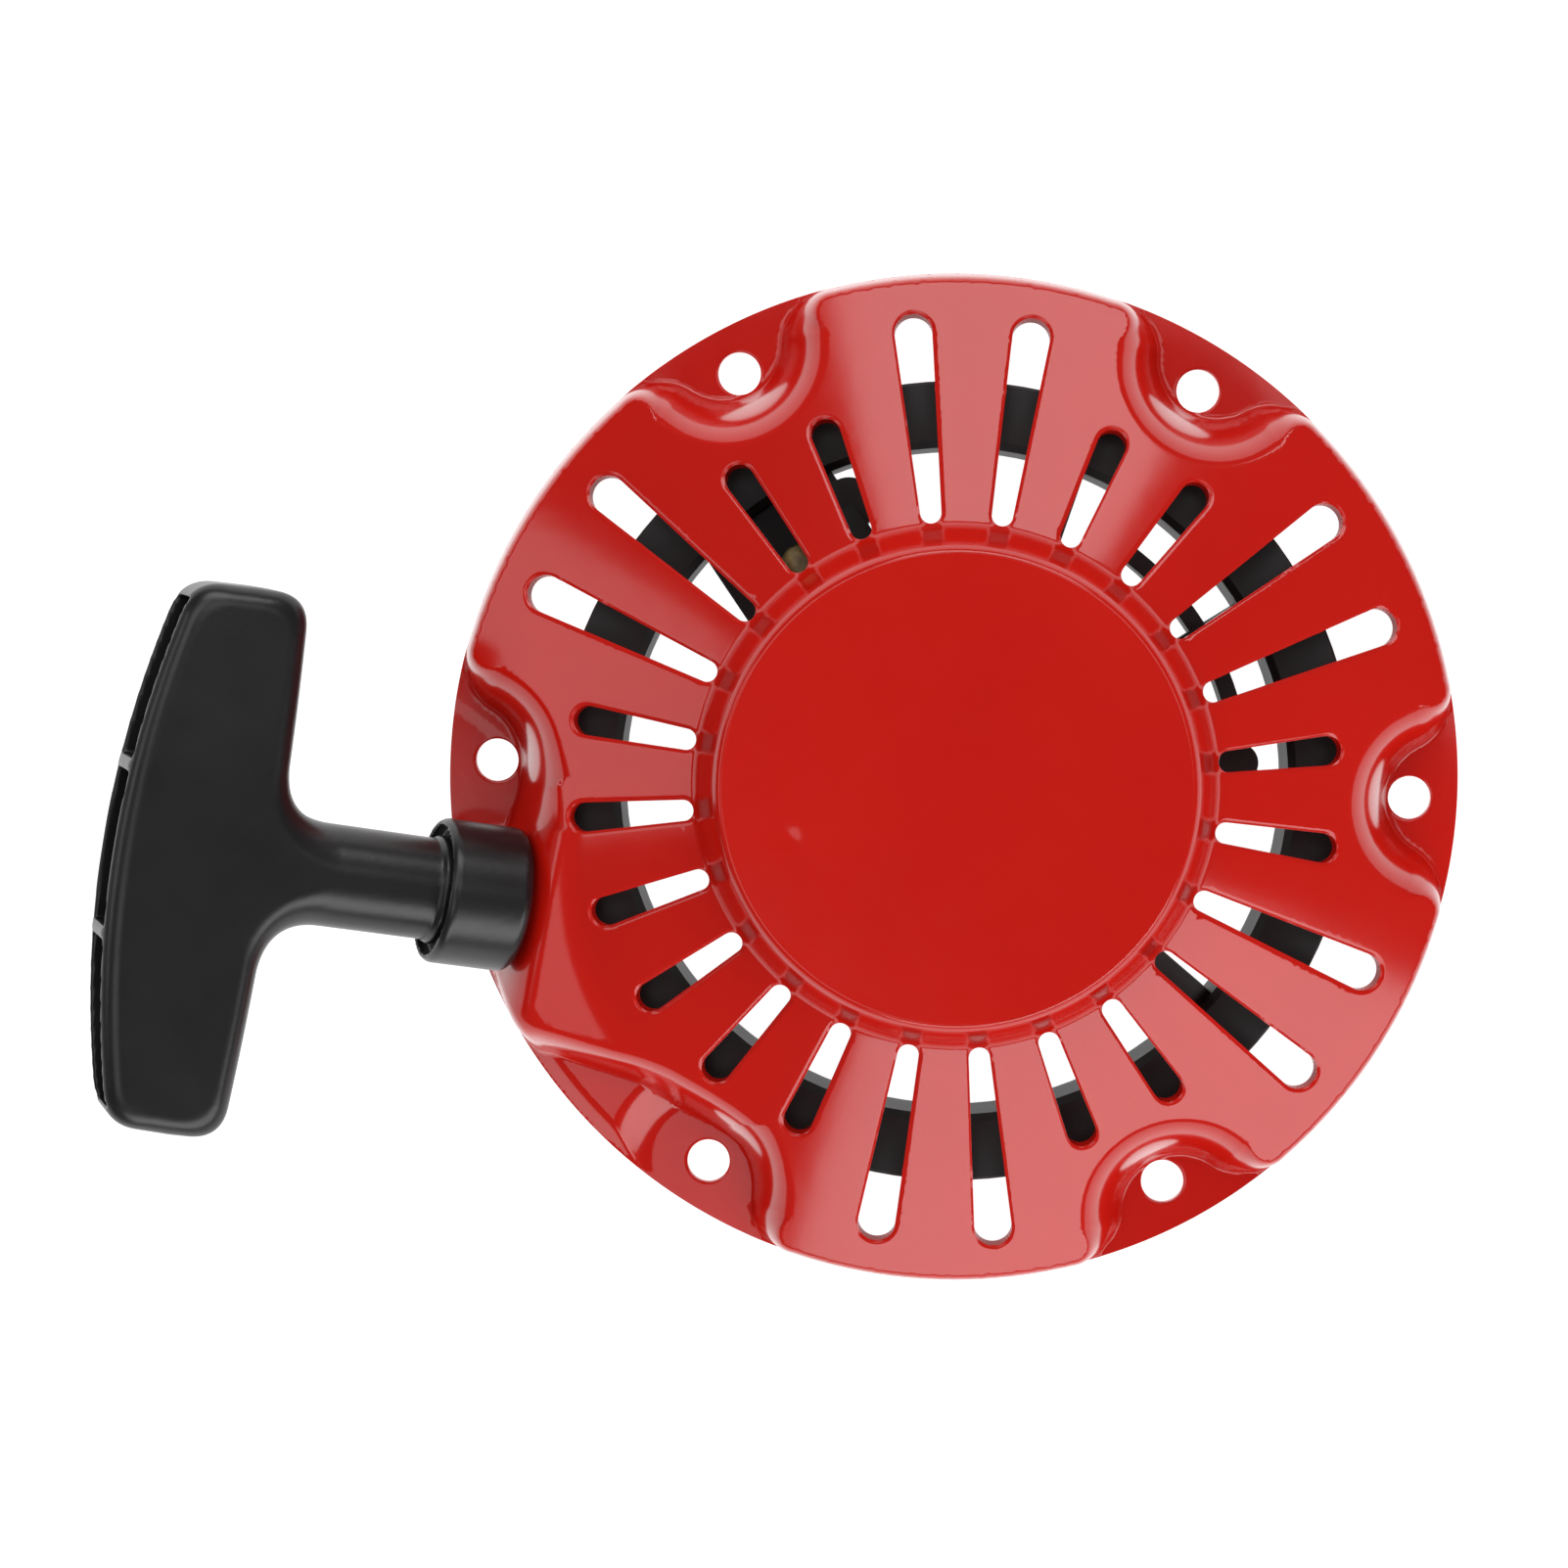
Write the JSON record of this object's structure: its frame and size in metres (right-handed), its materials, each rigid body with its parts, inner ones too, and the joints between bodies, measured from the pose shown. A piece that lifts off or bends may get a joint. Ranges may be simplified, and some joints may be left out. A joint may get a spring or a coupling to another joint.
{
  "type": "recoil starter",
  "caption": "Pull starter for a small engine: vented round pressed-steel cover with a raised disc, rope reel, return spring, ratchet pawls and a T-shaped pull grip.",
  "frame": {"origin": "centre of the six-hole bolt circle, on the engine side of the mounting feet", "axes": "+Z out of the cover along the reel axis, +X through the bolt hole opposite the rope outlet, +Y by the right-hand rule; the grip lies towards -X"},
  "size_m": [0.2222, 0.17, 0.046],
  "materials": {
    "red_paint": "gloss baked red paint on pressed steel",
    "zinc_steel": "bright zinc plate",
    "black_plastic": "moulded glass-filled nylon, satin black",
    "grip_plastic": "satin black moulded plastic",
    "bronze": "oiled sintered bronze",
    "spring_steel": "blued spring steel",
    "rope": "black braided nylon",
    "rope_sealed": "heat-sealed nylon knot, dark olive",
    "pawl_steel": "hardened steel",
    "yellow_zinc": "yellow-passivated zinc plate"
  },
  "bodies": {
    "cover": {"starter_case": "red_paint", "case_plate": "zinc_steel", "center_post": "zinc_steel", "center_bolt": "zinc_steel", "thrust_washer": "zinc_steel", "rope_guide": "zinc_steel", "guide_retainer": "zinc_steel", "rope_lead": "rope", "friction_spring": "spring_steel"},
    "reel": {"reel": "black_plastic", "reel_bush": "bronze", "main_spring": "spring_steel", "spring_cover": "zinc_steel", "rope_coil": "rope", "rope_knot_reel": "rope_sealed", "pawl_pin_a": "zinc_steel", "pawl_pin_b": "zinc_steel", "pawl_spring_a": "spring_steel", "pawl_spring_b": "spring_steel"},
    "guide": {"ratchet_guide": "yellow_zinc"},
    "pawl_a": {"pawl_a": "pawl_steel"},
    "pawl_b": {"pawl_b": "pawl_steel"},
    "grip": {"grip": "grip_plastic", "rope_pull": "rope", "knot_washer": "zinc_steel", "rope_knot_grip": "rope_sealed"}
  },
  "joints": [
    {"name": "reel_spin", "type": "hinge", "parent": "cover", "child": "reel", "pos_m": [0, 0, 0.024], "axis": [0, 0, -1], "range_deg": [0, 880], "stiffness_Nm_per_rad": 0.02, "springref_deg": -721.93, "deforming": ["rope_lead"]},
    {"name": "grip_pull", "type": "slide", "parent": "cover", "child": "grip", "axis": [-0.9195, 0.1194, 0.3746], "range_m": [0, 0.92]},
    {"name": "guide_shift", "type": "hinge", "parent": "reel", "child": "guide", "pos_m": [0, 0, 0.0156], "axis": [0, 0, 1], "range_deg": [0, 12], "stiffness_Nm_per_rad": 0.01, "springref_deg": -5.73},
    {"name": "pawl_a_swing", "type": "hinge", "parent": "reel", "child": "pawl_a", "pos_m": [0.026, 0, 0.019], "axis": [0, 0, 1], "range_deg": [0, 24]},
    {"name": "pawl_b_swing", "type": "hinge", "parent": "reel", "child": "pawl_b", "pos_m": [-0.026, 0, 0.019], "axis": [0, 0, 1], "range_deg": [0, 24]}
  ],
  "couplings": [
    {"joint": "grip_pull", "follows": "reel_spin", "m_per_rad": 0.0595},
    {"joint": "pawl_a_swing", "follows": "guide_shift", "ratio": 2},
    {"joint": "pawl_b_swing", "follows": "guide_shift", "ratio": 2}
  ]
}
